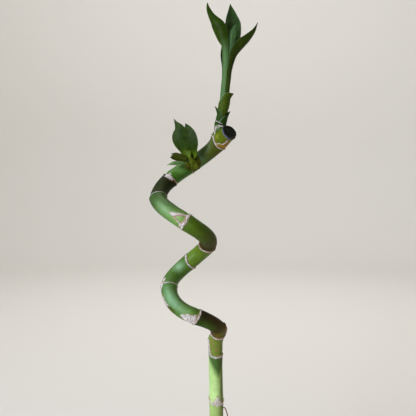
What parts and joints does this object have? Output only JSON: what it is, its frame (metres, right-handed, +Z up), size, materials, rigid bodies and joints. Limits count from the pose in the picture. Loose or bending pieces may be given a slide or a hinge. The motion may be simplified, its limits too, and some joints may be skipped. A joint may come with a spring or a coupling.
{
  "type": "lucky bamboo plant in vase",
  "caption": "Lucky bamboo with a spiral cane and leafy shoots, standing in a plain vase of pebbles.",
  "frame": {"origin": "centre of the vase's base, on the surface it stands on", "axes": "+Z up along the cane's straight part, -Y towards the viewer, +X to the viewer's right"},
  "size_m": [0.0996, 0.076, 0.5291],
  "materials": {
    "glaze": "gloss",
    "stone": "smooth",
    "cane_skin": "satin",
    "wax": "waxy",
    "young_stem": "satin",
    "leaf": "satin",
    "bract": "matt"
  },
  "bodies": {
    "root": {"vase": "glaze", "pebbles": "stone", "cane": "cane_skin", "cut_seal": "wax", "upper_stem": "young_stem", "lower_stem": "young_stem", "upper_leaf_left": "leaf", "upper_leaf_right": "leaf", "upper_leaf_back": "leaf", "upper_leaf_young": "leaf", "upper_bract_left": "bract", "upper_bract_right": "bract", "upper_bract_high": "bract", "lower_leaf_left": "leaf", "lower_leaf_right": "leaf", "lower_leaf_dark": "leaf", "lower_leaf_pale": "leaf", "lower_bract_right": "bract", "lower_bract_front": "bract"}
  },
  "joints": []
}
